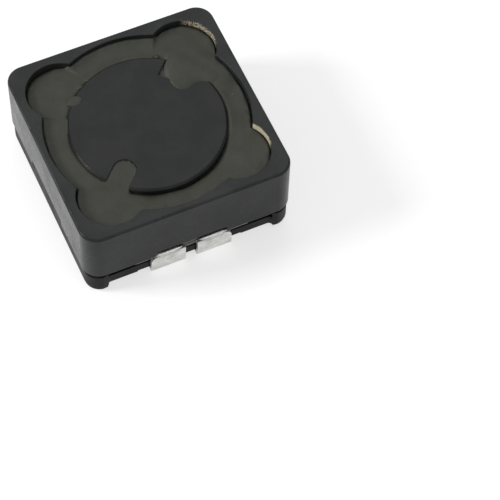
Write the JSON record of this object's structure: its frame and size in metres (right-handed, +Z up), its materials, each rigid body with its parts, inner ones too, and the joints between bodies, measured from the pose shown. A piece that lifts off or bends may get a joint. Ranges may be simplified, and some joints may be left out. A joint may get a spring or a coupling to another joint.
{
  "type": "shielded surface-mount power inductor",
  "caption": "Low square surface-mount power inductor: a wound ferrite drum inside a square ferrite shield, on a moulded base with forked tin-plated terminals.",
  "frame": {"origin": "centre of the solder plane, under the middle of the shield", "axes": "+Z up from the circuit board; the two terminals face -Y and +Y; the sides without a terminal face -X and +X"},
  "size_m": [0.0126, 0.0126, 0.0056],
  "materials": {
    "shield_ferrite": "sintered dark grey ferrite with ground faces, semi-matt",
    "drum_ferrite": "sintered near-black ferrite, ground flat on top",
    "moulded_base": "black glass-filled moulding, satin",
    "tinned_sheet": "matt tin plating, lightly mottled",
    "enamelled_wire": "clear enamel over copper",
    "solder": "bright solder",
    "fill_resin": "set epoxy resin, dark olive grey, semi-gloss",
    "bond_glue": "black epoxy glue",
    "clear_glue": "translucent amber glue"
  },
  "bodies": {
    "root": {"shield_core": "shield_ferrite", "drum_core": "drum_ferrite", "winding": "enamelled_wire", "base": "moulded_base", "terminal_front": "tinned_sheet", "terminal_back": "tinned_sheet", "solder_front": "solder", "solder_back": "solder", "core_bond": "bond_glue", "fill_resin": "fill_resin", "terminal_glue": "clear_glue"}
  },
  "joints": []
}
